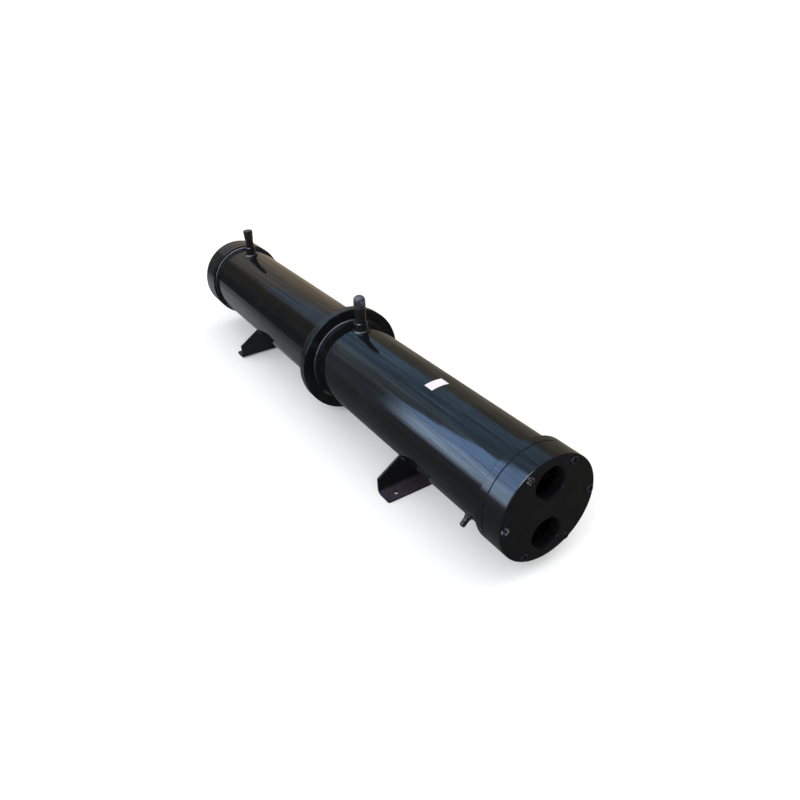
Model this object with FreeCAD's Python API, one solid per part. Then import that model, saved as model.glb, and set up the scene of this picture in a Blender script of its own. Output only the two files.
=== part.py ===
import FreeCAD, Part
import os
from math import cos, radians, sin, sqrt, tan

from FreeCAD import Vector

# Horizontal two-circuit shell and tube condenser: two shells in line share one
# tube bundle and are parted by a larger tube sheet. Millimetres.
# +X runs along the vessel to the end with the water ports, +Z is up, and the
# origin is on the floor below the middle of the overall length.

# Vessel
SHELL_RADIUS = 109.5
SHELL_WALL = 6.0
FRONT_SHELL_LENGTH = 679.0
REAR_SHELL_LENGTH = 714.0
END_SHEET_OVERHANG = 10.5
END_SHEET_THICKNESS = 20.0
MIDDLE_SHEET_OVERHANG = 33.0
MIDDLE_SHEET_THICKNESS = 25.0
MIDDLE_SHEET_CHAMFER = 1.5
FLOOR_CLEARANCE = 15.5
WELD_LEG = 7.0
RIM_CHAMFER = 0.8

# Covers and their gaskets
COVER_DEPTH = 51.0
COVER_WALL = 24.0
COVER_EDGE_FILLET = 2.5
CHAMBER_TO_SCREWS = 8.5
PASS_RIB = 10.0
GASKET_THICKNESS = 1.5
GASKET_INSET = 1.5

# Water ports: the thread's major radius, and the ledge left beside it in the chamber
PORT_RADIUS = 37.6
PORT_CHAMFER = 1.0
PORT_LEDGE = 0.4

# Cover screws
SCREW_COUNT = 6
SCREW_FIRST_ANGLE = 30.0
SCREW_EDGE_DISTANCE = 12.5
SCREW_RADIUS = 6.0
SCREW_HEAD_RIM = 3.0
SCREW_HEAD_HEIGHT = 12.0
SCREW_HEAD_CHAMFER = 1.0
SCREW_SOCKET_FLATS = 10.0
SCREW_SOCKET_DEPTH = 6.0
SCREW_GRIP_IN_SHEET = 15.0
SCREW_HOLE_CLEARANCE = 0.5
THREAD_CLEARANCE = 0.05
POCKET_CLEARANCE = 1.5
POCKET_DEPTH = 9.0

# Tube bundle. The ligament is the metal between two tubes' holes, and the lane
# margin is the metal between the innermost tubes and the pass rib.
TUBE_RADIUS = 9.5
TUBE_WALL = 1.5
TUBE_LIGAMENT = 5.0
TUBE_PROJECTION = 2.0
LANE_MARGIN = 3.5
BUNDLE_MARGIN = 6.0

# Gas stubs on top of the shells. A setback is the distance from the shell's rear end.
FRONT_GAS_SETBACK = 64.5
FRONT_GAS_HEIGHT = 96.0
FRONT_GAS_RADIUS = 14.3
FRONT_GAS_SOCKET_WALL = 3.7
FRONT_GAS_SOCKET_HEIGHT = 25.0
FRONT_CAP_LENGTH = 32.0
FRONT_CAP_WALL = 0.8
FRONT_CAP_CROWN = 10.0
FRONT_CAP_FILLET = 13.0
REAR_GAS_SETBACK = 77.5
REAR_GAS_HEIGHT = 83.0
REAR_GAS_RADIUS = 12.7
REAR_GAS_SOCKET_WALL = 3.5
REAR_GAS_SOCKET_HEIGHT = 29.0
REAR_CAP_LENGTH = 27.0
REAR_CAP_WALL = 0.8
REAR_CAP_CROWN = 3.0
REAR_CAP_FLARE = 1.6
REAR_CAP_FILLET = 1.2
GAS_TUBE_WALL = 1.5
GAS_WELD_LEG = 5.0
SOCKET_CHAMFER = 1.0
STUB_INTRUSION = 3.0

# Liquid stubs low on the shells. The setback is the distance from the shell's front end,
# and the angle is measured from straight down, towards -Y.
LIQUID_SETBACK = 65.5
LIQUID_ANGLE = 47.0
LIQUID_HEIGHT = 26.0
LIQUID_TUBE_RADIUS = 5.0
LIQUID_TUBE_WALL = 1.0
LIQUID_SOCKET_WALL = 3.0
LIQUID_SOCKET_HEIGHT = 7.0
LIQUID_WELD_LEG = 2.0
LIQUID_CAP_LENGTH = 18.5
LIQUID_CAP_WALL = 1.5
LIQUID_CAP_CROWN = 2.0
LIQUID_CAP_FILLET = 4.0

# Feet, bent from plate. The heel is the face away from the foot's flange, and the
# setback is from the heel to the shell's outer end.
FRONT_FOOT_SETBACK = 326.5
REAR_FOOT_SETBACK = 254.5
FOOT_THICKNESS = 5.0
FOOT_BEND_RADIUS = 8.0
FOOT_DEPTH = 48.0
FOOT_HALF_WIDTH = 143.0
FOOT_SIDE_HEIGHT = 42.5
FOOT_SADDLE_ANGLE = 47.5
FOOT_CORNER_RADIUS = 5.0
FOOT_HOLE_RADIUS = 5.5
FOOT_HOLE_SETBACK = 29.0
FOOT_HOLE_MARGIN = 32.0

# Blank label on the front shell, set back from the shell's front end to the label's
# middle. The angle is measured from the top, towards -Y.
LABEL_SETBACK = 283.0
LABEL_LENGTH = 28.0
LABEL_ANGLE = 1.6
LABEL_SPAN = 24.0
LABEL_THICKNESS = 0.4

# Radii and heights that follow from those sizes
COVER_RADIUS = SHELL_RADIUS + END_SHEET_OVERHANG
MIDDLE_SHEET_RADIUS = SHELL_RADIUS + MIDDLE_SHEET_OVERHANG
AXIS_HEIGHT = MIDDLE_SHEET_RADIUS + FLOOR_CLEARANCE
SCREW_CIRCLE_RADIUS = COVER_RADIUS - SCREW_EDGE_DISTANCE
SCREW_HOLE_RADIUS = SCREW_RADIUS + SCREW_HOLE_CLEARANCE
SCREW_HEAD_RADIUS = SCREW_RADIUS + SCREW_HEAD_RIM
POCKET_RADIUS = SCREW_HEAD_RADIUS + POCKET_CLEARANCE
CHAMBER_RADIUS = SCREW_CIRCLE_RADIUS - CHAMBER_TO_SCREWS
PORT_OFFSET = CHAMBER_RADIUS - PORT_LEDGE - PORT_RADIUS
TUBE_PITCH = 2 * TUBE_RADIUS + TUBE_LIGAMENT
FIRST_ROW = PASS_RIB / 2 + LANE_MARGIN + TUBE_RADIUS
BUNDLE_RADIUS = SHELL_RADIUS - SHELL_WALL - BUNDLE_MARGIN - TUBE_RADIUS
FOOT_HOLE_OFFSET = FOOT_HALF_WIDTH - FOOT_HOLE_MARGIN

# Stations along the vessel, from the ported end to the plain one
OVERALL_LENGTH = (
    2 * (COVER_DEPTH + GASKET_THICKNESS + END_SHEET_THICKNESS)
    + FRONT_SHELL_LENGTH + MIDDLE_SHEET_THICKNESS + REAR_SHELL_LENGTH
)
FRONT_FACE = OVERALL_LENGTH / 2
FRONT_COVER_BACK = FRONT_FACE - COVER_DEPTH
FRONT_SHEET_FRONT = FRONT_COVER_BACK - GASKET_THICKNESS
FRONT_SHELL_FRONT = FRONT_SHEET_FRONT - END_SHEET_THICKNESS
MIDDLE_SHEET_FRONT = FRONT_SHELL_FRONT - FRONT_SHELL_LENGTH
REAR_SHELL_FRONT = MIDDLE_SHEET_FRONT - MIDDLE_SHEET_THICKNESS
REAR_SHEET_FRONT = REAR_SHELL_FRONT - REAR_SHELL_LENGTH
REAR_SHEET_BACK = REAR_SHEET_FRONT - END_SHEET_THICKNESS
FRONT_HEEL = FRONT_SHELL_FRONT - FRONT_FOOT_SETBACK
REAR_HEEL = REAR_SHEET_FRONT + REAR_FOOT_SETBACK
FRONT_GAS = MIDDLE_SHEET_FRONT + FRONT_GAS_SETBACK
REAR_GAS = REAR_SHEET_FRONT + REAR_GAS_SETBACK
FRONT_LIQUID = FRONT_SHELL_FRONT - LIQUID_SETBACK
REAR_LIQUID = REAR_SHELL_FRONT - LIQUID_SETBACK

ALONG_X = Vector(1, 0, 0)
UP = Vector(0, 0, 1)
HEX_SIDES = 6
FULL_TURN = 360.0
SAME = 1e-6
LIQUID_DIRECTION = Vector(0, -sin(radians(LIQUID_ANGLE)), -cos(radians(LIQUID_ANGLE)))


def axis_point(x, y=0.0, z=0.0):
    """A point given from the vessel's axis."""
    return Vector(x, y, AXIS_HEIGHT + z)


def rod(radius, x_low, length, y=0.0, z=0.0):
    """A cylinder along X, placed from the vessel's axis."""
    return Part.makeCylinder(radius, length, axis_point(x_low, y, z), ALONG_X)


def revolved(profile, origin, direction):
    """A solid of revolution from (radius, height) points about an axis."""
    points = [Vector(radius, 0, height) for radius, height in profile]
    face = Part.Face(Part.makePolygon(points + points[:1]))
    solid = face.revolve(Vector(), UP, FULL_TURN)
    solid.Placement = FreeCAD.Placement(origin, FreeCAD.Rotation(UP, direction))
    return solid


def circle_edges(solid, radius, station):
    """The solid's full circles of one radius about the vessel's axis at one place along it."""
    found = []
    for edge in solid.Edges:
        curve = edge.Curve
        if not isinstance(curve, Part.Circle) or abs(curve.Radius - radius) > SAME:
            continue
        if curve.Center.distanceToPoint(axis_point(station)) < SAME:
            found.append(edge)
    return found


def screw_places():
    """The (y, z) places of the cover screws, from the vessel's axis."""
    step = FULL_TURN / SCREW_COUNT
    angles = [radians(SCREW_FIRST_ANGLE + step * index) for index in range(SCREW_COUNT)]
    return [(SCREW_CIRCLE_RADIUS * sin(angle), SCREW_CIRCLE_RADIUS * cos(angle)) for angle in angles]


def tube_places():
    """The (y, z) places of the tubes of the upper pass, on a triangular pitch."""
    places = []
    row_step = TUBE_PITCH * sqrt(3) / 2
    z = FIRST_ROW
    row = 0
    while z < BUNDLE_RADIUS:
        half_width = sqrt(BUNDLE_RADIUS ** 2 - z ** 2)
        y = TUBE_PITCH / 2 if row % 2 else 0.0
        while y < half_width:
            places.append((y, z))
            if y > 0:
                places.append((-y, z))
            y += TUBE_PITCH
        z += row_step
        row += 1
    return places


def both_passes():
    return tube_places() + [(y, -z) for y, z in tube_places()]


def tube_holes(x_low, length):
    return [rod(TUBE_RADIUS, x_low, length, y, z) for y, z in both_passes()]


def front_to_rear(solid):
    """Turns a piece of the ported end's outline round to the plain end."""
    return solid.mirror(Vector(), ALONG_X)


def plain_cover():
    """The cover at the ported end, before its ports and its pass rib."""
    cover = rod(COVER_RADIUS, FRONT_COVER_BACK, COVER_DEPTH)
    cover = cover.makeFillet(COVER_EDGE_FILLET, circle_edges(cover, COVER_RADIUS, FRONT_FACE))
    cover = cover.makeChamfer(RIM_CHAMFER, circle_edges(cover, COVER_RADIUS, FRONT_COVER_BACK))
    cover = cover.cut(rod(CHAMBER_RADIUS, FRONT_COVER_BACK, COVER_DEPTH - COVER_WALL))
    for y, z in screw_places():
        cover = cover.cut(rod(SCREW_HOLE_RADIUS, FRONT_COVER_BACK, COVER_DEPTH, y, z))
        cover = cover.cut(rod(POCKET_RADIUS, FRONT_FACE - POCKET_DEPTH, POCKET_DEPTH, y, z))
    return cover


def water_port(z):
    """The tool that cuts a port with its lead-in chamfer."""
    wall_back = FRONT_FACE - COVER_WALL
    mouth = Part.makeCone(
        PORT_RADIUS, PORT_RADIUS + PORT_CHAMFER, PORT_CHAMFER,
        axis_point(FRONT_FACE - PORT_CHAMFER, 0, z), ALONG_X,
    )
    return rod(PORT_RADIUS, wall_back, COVER_WALL, 0, z).fuse(mouth)


def pass_rib(x_low, length):
    """A flat bar across the chamber's middle that parts the two passes."""
    bar = Part.makeBox(
        length, 2 * CHAMBER_RADIUS, PASS_RIB, axis_point(x_low, -CHAMBER_RADIUS, -PASS_RIB / 2)
    )
    return bar.common(rod(CHAMBER_RADIUS, x_low, length))


def front_cover():
    rib = pass_rib(FRONT_COVER_BACK, COVER_DEPTH - COVER_WALL)
    cover = plain_cover().fuse(rib)
    cover = cover.cut(water_port(PORT_OFFSET)).cut(water_port(-PORT_OFFSET))
    return cover.removeSplitter()


def plain_gasket():
    radius = COVER_RADIUS - GASKET_INSET
    gasket = rod(radius, FRONT_SHEET_FRONT, GASKET_THICKNESS)
    gasket = gasket.cut(rod(CHAMBER_RADIUS, FRONT_SHEET_FRONT, GASKET_THICKNESS))
    for y, z in screw_places():
        gasket = gasket.cut(rod(SCREW_HOLE_RADIUS, FRONT_SHEET_FRONT, GASKET_THICKNESS, y, z))
    return gasket


def front_gasket():
    return plain_gasket().fuse(pass_rib(FRONT_SHEET_FRONT, GASKET_THICKNESS)).removeSplitter()


def end_tube_sheet():
    """The tube sheet at the ported end, with its tapped holes for the cover screws."""
    sheet = rod(COVER_RADIUS, FRONT_SHELL_FRONT, END_SHEET_THICKNESS)
    rims = circle_edges(sheet, COVER_RADIUS, FRONT_SHELL_FRONT)
    rims += circle_edges(sheet, COVER_RADIUS, FRONT_SHEET_FRONT)
    sheet = sheet.makeChamfer(RIM_CHAMFER, rims)
    holes = tube_holes(FRONT_SHELL_FRONT, END_SHEET_THICKNESS)
    for y, z in screw_places():
        holes.append(rod(
            SCREW_RADIUS + THREAD_CLEARANCE, FRONT_SHEET_FRONT - SCREW_GRIP_IN_SHEET,
            SCREW_GRIP_IN_SHEET, y, z,
        ))
    return sheet.cut(holes)


def middle_tube_sheet():
    sheet = rod(MIDDLE_SHEET_RADIUS, REAR_SHELL_FRONT, MIDDLE_SHEET_THICKNESS)
    rims = circle_edges(sheet, MIDDLE_SHEET_RADIUS, REAR_SHELL_FRONT)
    rims += circle_edges(sheet, MIDDLE_SHEET_RADIUS, MIDDLE_SHEET_FRONT)
    sheet = sheet.makeChamfer(MIDDLE_SHEET_CHAMFER, rims)
    return sheet.cut(tube_holes(REAR_SHELL_FRONT, MIDDLE_SHEET_THICKNESS))


def shell(x_low, length, gas_x, gas_radius, liquid_x):
    """A length of pipe with a hole for each of its two stubs."""
    pipe = rod(SHELL_RADIUS, x_low, length).cut(rod(SHELL_RADIUS - SHELL_WALL, x_low, length))
    gas_hole = Part.makeCylinder(gas_radius, 2 * SHELL_RADIUS, axis_point(gas_x), UP)
    liquid_hole = Part.makeCylinder(
        LIQUID_TUBE_RADIUS, 2 * SHELL_RADIUS, axis_point(liquid_x), LIQUID_DIRECTION
    )
    return pipe.cut(gas_hole).cut(liquid_hole)


def ring_weld(sheet_face, towards):
    """A fillet weld round the shell, where it meets a tube sheet's face."""
    profile = [
        (SHELL_RADIUS, 0.0), (SHELL_RADIUS + WELD_LEG, 0.0), (SHELL_RADIUS, WELD_LEG),
    ]
    return revolved(profile, axis_point(sheet_face), Vector(towards, 0, 0))


def cover_screw(y, z):
    """A socket head screw at the ported end, seated on the floor of its pocket."""
    seat = FRONT_FACE - POCKET_DEPTH
    tip = FRONT_SHEET_FRONT - SCREW_GRIP_IN_SHEET
    top = SCREW_HEAD_HEIGHT
    head_profile = [
        (0.0, 0.0), (SCREW_HEAD_RADIUS, 0.0), (SCREW_HEAD_RADIUS, top - SCREW_HEAD_CHAMFER),
        (SCREW_HEAD_RADIUS - SCREW_HEAD_CHAMFER, top), (0.0, top),
    ]
    head = revolved(head_profile, axis_point(seat, y, z), ALONG_X)
    key_radius = SCREW_SOCKET_FLATS / sqrt(3)
    floor = seat + SCREW_HEAD_HEIGHT - SCREW_SOCKET_DEPTH
    turns = [radians(FULL_TURN * side / HEX_SIDES) for side in range(HEX_SIDES)]
    corners = [
        axis_point(floor, y + key_radius * cos(turn), z + key_radius * sin(turn)) for turn in turns
    ]
    socket = Part.Face(Part.makePolygon(corners + corners[:1])).extrude(ALONG_X * SCREW_SOCKET_DEPTH)
    shank = rod(SCREW_RADIUS, tip, seat - tip, y, z)
    return head.cut(socket).fuse(shank).removeSplitter()


def bundle_pass(side):
    """The tubes of one pass, from end to end of the vessel."""
    x_low = REAR_SHEET_BACK - TUBE_PROJECTION
    length = FRONT_SHEET_FRONT + TUBE_PROJECTION - x_low
    bore_radius = TUBE_RADIUS - TUBE_WALL
    tubes = []
    for y, z in tube_places():
        wall = rod(TUBE_RADIUS, x_low, length, y, side * z)
        tubes.append(wall.cut(rod(bore_radius, x_low, length, y, side * z)))
    return Part.makeCompound(tubes)


def stub_tube(x, direction, radius, wall, height):
    """A stub's tube, from just inside the shell to its open end."""
    start = SHELL_RADIUS - SHELL_WALL - STUB_INTRUSION
    profile = [
        (radius - wall, start), (radius, start), (radius, SHELL_RADIUS + height),
        (radius - wall, SHELL_RADIUS + height),
    ]
    return revolved(profile, axis_point(x), direction)


def stub_socket(x, direction, bore_radius, wall, height, weld_leg):
    """A stub's collar with the weld at its foot, fitted to the shell."""
    radius = bore_radius + wall
    # The saddle is deepest where the weld's foot is furthest round the shell.
    foot_radius = radius + weld_leg
    saddle = sqrt(SHELL_RADIUS ** 2 - foot_radius ** 2)
    top = SHELL_RADIUS + height
    profile = [
        (bore_radius, saddle), (foot_radius, saddle), (foot_radius, SHELL_RADIUS),
        (radius, SHELL_RADIUS + weld_leg), (radius, top - SOCKET_CHAMFER),
        (radius - SOCKET_CHAMFER, top), (bore_radius, top),
    ]
    collar = revolved(profile, axis_point(x), direction)
    half_length = 2 * foot_radius
    return collar.cut(rod(SHELL_RADIUS, x - half_length, 2 * half_length))


def stub_cap(x, direction, bore, height, length, wall, crown, flare, fillet):
    """A push-on cap that closes a stub, with its top edge rounded."""
    top = SHELL_RADIUS + height
    low = top - length
    outer = bore + wall
    profile = [
        (0.0, top - crown), (bore, top - crown), (bore, low), (outer, low),
        (outer + flare, top), (0.0, top),
    ]
    cap = revolved(profile, axis_point(x), direction)
    top_centre = axis_point(x) + direction * top
    rim = [
        edge for edge in cap.Edges
        if isinstance(edge.Curve, Part.Circle)
        and edge.Curve.Center.distanceToPoint(top_centre) < SAME
    ]
    return cap.makeFillet(fillet, rim)


def foot_section():
    """The bent plate's section in XZ, with its heel at X = 0 and its flange along +X."""
    t = FOOT_THICKNESS
    inner = FOOT_BEND_RADIUS
    outer = inner + t
    top = AXIS_HEIGHT
    turn = sin(radians(45))
    outer_middle = Vector(outer * (1 - turn), 0, outer * (1 - turn))
    inner_middle = Vector(outer - inner * turn, 0, outer - inner * turn)
    edges = [
        Part.LineSegment(Vector(0, 0, top), Vector(0, 0, outer)),
        Part.Arc(Vector(0, 0, outer), outer_middle, Vector(outer, 0, 0)),
        Part.LineSegment(Vector(outer, 0, 0), Vector(FOOT_DEPTH, 0, 0)),
        Part.LineSegment(Vector(FOOT_DEPTH, 0, 0), Vector(FOOT_DEPTH, 0, t)),
        Part.LineSegment(Vector(FOOT_DEPTH, 0, t), Vector(outer, 0, t)),
        Part.Arc(Vector(outer, 0, t), inner_middle, Vector(t, 0, outer)),
        Part.LineSegment(Vector(t, 0, outer), Vector(t, 0, top)),
        Part.LineSegment(Vector(t, 0, top), Vector(0, 0, top)),
    ]
    return Part.Face(Part.Wire([edge.toShape() for edge in edges]))


def foot():
    """A foot with its heel at X = 0 and its flange along +X."""
    plate = foot_section().extrude(Vector(0, 2 * FOOT_HALF_WIDTH, 0))
    plate.translate(Vector(0, -FOOT_HALF_WIDTH, 0))
    saddle_y = SHELL_RADIUS * sin(radians(FOOT_SADDLE_ANGLE))
    saddle_z = AXIS_HEIGHT - SHELL_RADIUS * cos(radians(FOOT_SADDLE_ANGLE))
    outline = [
        Vector(0, -FOOT_HALF_WIDTH, 0), Vector(0, FOOT_HALF_WIDTH, 0),
        Vector(0, FOOT_HALF_WIDTH, FOOT_SIDE_HEIGHT), Vector(0, saddle_y, saddle_z),
        Vector(0, -saddle_y, saddle_z), Vector(0, -FOOT_HALF_WIDTH, FOOT_SIDE_HEIGHT),
    ]
    front_view = Part.Face(Part.makePolygon(outline + outline[:1])).extrude(ALONG_X * FOOT_DEPTH)
    plate = plate.common(front_view).cut(rod(SHELL_RADIUS, 0, FOOT_DEPTH))
    toe_corners = [
        edge for edge in plate.Edges
        if abs(edge.BoundBox.XMin - FOOT_DEPTH) < SAME
        and edge.BoundBox.ZLength > FOOT_THICKNESS / 2
    ]
    plate = plate.makeFillet(FOOT_CORNER_RADIUS, toe_corners)
    for y in (-FOOT_HOLE_OFFSET, FOOT_HOLE_OFFSET):
        hole = Part.makeCylinder(FOOT_HOLE_RADIUS, FOOT_THICKNESS, Vector(FOOT_HOLE_SETBACK, y, 0), UP)
        plate = plate.cut(hole)
    return plate


def front_foot():
    piece = foot()
    piece.translate(ALONG_X * FRONT_HEEL)
    return piece


def rear_foot():
    piece = front_to_rear(foot())
    piece.translate(ALONG_X * REAR_HEEL)
    return piece


def blank_label():
    """A thin patch that lies on the front shell."""
    x_low = FRONT_SHELL_FRONT - LABEL_SETBACK - LABEL_LENGTH / 2
    patch = rod(SHELL_RADIUS + LABEL_THICKNESS, x_low, LABEL_LENGTH)
    patch = patch.cut(rod(SHELL_RADIUS, x_low, LABEL_LENGTH))
    reach = 2 * SHELL_RADIUS
    half_span = reach * tan(radians(LABEL_SPAN / 2))
    wedge_points = [
        axis_point(x_low), axis_point(x_low, -half_span, reach), axis_point(x_low, half_span, reach),
    ]
    wedge = Part.Face(Part.makePolygon(wedge_points + wedge_points[:1])).extrude(ALONG_X * LABEL_LENGTH)
    wedge.rotate(axis_point(0), ALONG_X, LABEL_ANGLE)
    return patch.common(wedge)


def gas_stub_nodes():
    return {
        "front_gas_tube": stub_tube(
            FRONT_GAS, UP, FRONT_GAS_RADIUS, GAS_TUBE_WALL, FRONT_GAS_HEIGHT - FRONT_CAP_CROWN
        ),
        "front_gas_socket": stub_socket(
            FRONT_GAS, UP, FRONT_GAS_RADIUS, FRONT_GAS_SOCKET_WALL, FRONT_GAS_SOCKET_HEIGHT, GAS_WELD_LEG
        ),
        "front_gas_cap": stub_cap(
            FRONT_GAS, UP, FRONT_GAS_RADIUS, FRONT_GAS_HEIGHT, FRONT_CAP_LENGTH,
            FRONT_CAP_WALL, FRONT_CAP_CROWN, 0.0, FRONT_CAP_FILLET,
        ),
        "rear_gas_tube": stub_tube(
            REAR_GAS, UP, REAR_GAS_RADIUS, GAS_TUBE_WALL, REAR_GAS_HEIGHT - REAR_CAP_CROWN
        ),
        "rear_gas_socket": stub_socket(
            REAR_GAS, UP, REAR_GAS_RADIUS, REAR_GAS_SOCKET_WALL, REAR_GAS_SOCKET_HEIGHT, GAS_WELD_LEG
        ),
        "rear_gas_cap": stub_cap(
            REAR_GAS, UP, REAR_GAS_RADIUS, REAR_GAS_HEIGHT, REAR_CAP_LENGTH,
            REAR_CAP_WALL, REAR_CAP_CROWN, REAR_CAP_FLARE, REAR_CAP_FILLET,
        ),
    }


def liquid_stub_nodes(name, x):
    return {
        name + "_liquid_tube": stub_tube(
            x, LIQUID_DIRECTION, LIQUID_TUBE_RADIUS, LIQUID_TUBE_WALL, LIQUID_HEIGHT - LIQUID_CAP_CROWN
        ),
        name + "_liquid_socket": stub_socket(
            x, LIQUID_DIRECTION, LIQUID_TUBE_RADIUS, LIQUID_SOCKET_WALL,
            LIQUID_SOCKET_HEIGHT, LIQUID_WELD_LEG,
        ),
        name + "_liquid_cap": stub_cap(
            x, LIQUID_DIRECTION, LIQUID_TUBE_RADIUS, LIQUID_HEIGHT, LIQUID_CAP_LENGTH,
            LIQUID_CAP_WALL, LIQUID_CAP_CROWN, 0.0, LIQUID_CAP_FILLET,
        ),
    }


def vessel_nodes():
    return {
        "front_cover": front_cover(),
        "front_gasket": front_gasket(),
        "front_tube_sheet": end_tube_sheet(),
        "front_shell": shell(
            MIDDLE_SHEET_FRONT, FRONT_SHELL_LENGTH, FRONT_GAS, FRONT_GAS_RADIUS, FRONT_LIQUID
        ),
        "middle_tube_sheet": middle_tube_sheet(),
        "rear_shell": shell(
            REAR_SHEET_FRONT, REAR_SHELL_LENGTH, REAR_GAS, REAR_GAS_RADIUS, REAR_LIQUID
        ),
        "rear_tube_sheet": front_to_rear(end_tube_sheet()),
        "rear_gasket": front_to_rear(plain_gasket()),
        "rear_cover": front_to_rear(plain_cover()),
        "upper_pass_tubes": bundle_pass(1),
        "lower_pass_tubes": bundle_pass(-1),
        "front_sheet_weld": ring_weld(FRONT_SHELL_FRONT, -1),
        "middle_sheet_front_weld": ring_weld(MIDDLE_SHEET_FRONT, 1),
        "middle_sheet_rear_weld": ring_weld(REAR_SHELL_FRONT, -1),
        "rear_sheet_weld": ring_weld(REAR_SHEET_FRONT, 1),
        **gas_stub_nodes(),
        **liquid_stub_nodes("front", FRONT_LIQUID),
        **liquid_stub_nodes("rear", REAR_LIQUID),
    }


def screw_nodes():
    nodes = {}
    for number, (y, z) in enumerate(screw_places(), start=1):
        screw = cover_screw(y, z)
        nodes["front_cover_screw_%d" % number] = screw
        nodes["rear_cover_screw_%d" % number] = front_to_rear(screw)
    return nodes


def build():
    nodes = vessel_nodes()
    nodes.update(screw_nodes())
    nodes["front_foot"] = front_foot()
    nodes["rear_foot"] = rear_foot()
    nodes["blank_label"] = blank_label()
    return nodes


os.makedirs("parts", exist_ok=True)
for node_name, shape in build().items():
    shape.exportStep("parts/%s.step" % node_name)
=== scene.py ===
from collections import namedtuple
from math import ceil, cos, pi, radians, sin, sqrt, tau

import bmesh
import bpy
from mathutils import Matrix, Vector
from mathutils.noise import noise as smooth_noise


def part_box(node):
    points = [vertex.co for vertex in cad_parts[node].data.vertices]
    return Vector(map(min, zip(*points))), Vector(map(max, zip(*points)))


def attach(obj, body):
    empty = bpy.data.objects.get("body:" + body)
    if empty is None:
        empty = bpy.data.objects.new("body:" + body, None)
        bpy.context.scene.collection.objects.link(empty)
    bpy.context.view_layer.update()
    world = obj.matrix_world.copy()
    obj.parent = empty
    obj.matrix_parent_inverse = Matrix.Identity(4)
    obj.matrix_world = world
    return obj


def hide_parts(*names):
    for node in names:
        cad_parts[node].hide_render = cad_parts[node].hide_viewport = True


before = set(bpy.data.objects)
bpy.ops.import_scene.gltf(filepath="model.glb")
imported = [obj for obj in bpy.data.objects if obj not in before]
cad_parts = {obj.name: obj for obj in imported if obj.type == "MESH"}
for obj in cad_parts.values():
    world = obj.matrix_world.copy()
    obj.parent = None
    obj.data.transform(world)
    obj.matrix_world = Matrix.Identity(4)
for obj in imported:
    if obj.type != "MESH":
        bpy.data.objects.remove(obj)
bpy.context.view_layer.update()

# Weld beads: the leg, the pitch and depth of the ripple, and how far the size wanders
Bead = namedtuple("Bead", "leg pitch depth wander")
RING_BEAD = Bead(0.0068, 0.0046, 0.14, 0.14)
GAS_BEAD = Bead(0.0062, 0.0040, 0.12, 0.14)
LIQUID_BEAD = Bead(0.0026, 0.0022, 0.10, 0.10)
FOOT_BEAD = Bead(0.0080, 0.0072, 0.30, 0.26)
RIPPLE_STEPS = 6
RIPPLE_BOW = 0.34
RIPPLE_SHARPNESS = 3
BEAD_SECTION_STEPS = 10
BEAD_FULLNESS = 1.20
BEAD_WANDER_LENGTH = 0.014
BEAD_BURIED = 0.0008
BEAD_END_SIZE = 0.35

# By how much a CAD socket widens at its foot, the half angle of the feet's welds in degrees,
# and the CAD thickness of the feet
GAS_CAD_WELD_LEG = 0.0050
LIQUID_CAD_WELD_LEG = 0.0020
FOOT_WELD_HALF_ANGLE = 46.5
FOOT_PLATE_THICKNESS = 0.005

# Pipe threads of the water ports: 11 threads to the inch
THREAD_PITCH = 0.0254 / 11
THREAD_DEPTH = 0.00148
THREAD_CREST = 0.00045
THREAD_GAP = 0.00010
THREAD_BURIED = 0.00012
THREAD_LEAD_IN = 0.0022
THREAD_RUN = 0.0205
THREAD_STEPS = 144
THREAD_RUNOUT_TURNS = 0.6
THREAD_END_SHARE = 0.02
PORT_RADIUS = 0.0376
PORT_OFFSET = 0.061

# The turned tube sheets and covers: the lathe's feed, and which rims carry dust and a painted sheen, by
# their place along the vessel, their distance from its axis and how far they face along it
LATHE_PITCH = 0.0022
DUST_AND_SHEEN_RIMS_FROM = 0.30
DUST_AND_SHEEN_RIMS_FADE = 0.03
DUST_AND_SHEEN_RIM_RADIUS = 0.1185
DUST_AND_SHEEN_RIM_EDGE = 0.001
RIM_FACING = (0.50, 0.80)
RIM_RING_SIZE = (0.0036, 0.080, 0.080)
# The light tone of the rims: dust, and a painted sheen for the light they mirror
RIM_DUST_AND_SHEEN = (0.015, 0.016, 0.018)
RIM_DUST_AND_SHEEN_ROUGHNESS = 0.12

# The side on which the screw heads get painted glints, seen along the vessel, and how far towards
# it from the axis, in shell radii
GLINT_SIDE = Vector((0, -0.87, 0.50))
GLINT_FROM = 0.55
GLINT_TO = 0.75

# Below the axis, in shell radii, where the welds grow paler: dust, and painted light that lifts the shaded
# lower welds
WELD_DUST_AND_LIGHT_FROM = 0.53
WELD_DUST_AND_LIGHT_TO = 0.66
WELD_DUST_AND_LIGHT = (0.050, 0.050, 0.046)

# The feet's paint is paler from the middle of the vessel to its plain end
PALE_FOOT_FROM = 0.10
PALE_FOOT_TO = -0.10
PALE_FOOT_PAINT = (0.0085, 0.0092, 0.0106)

# The pale cap is darker towards its open end, up to this share of its height
CAP_SHADE_REACH = 0.85
CAP_SHADE = (0.0075, 0.0065, 0.0085)

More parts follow.
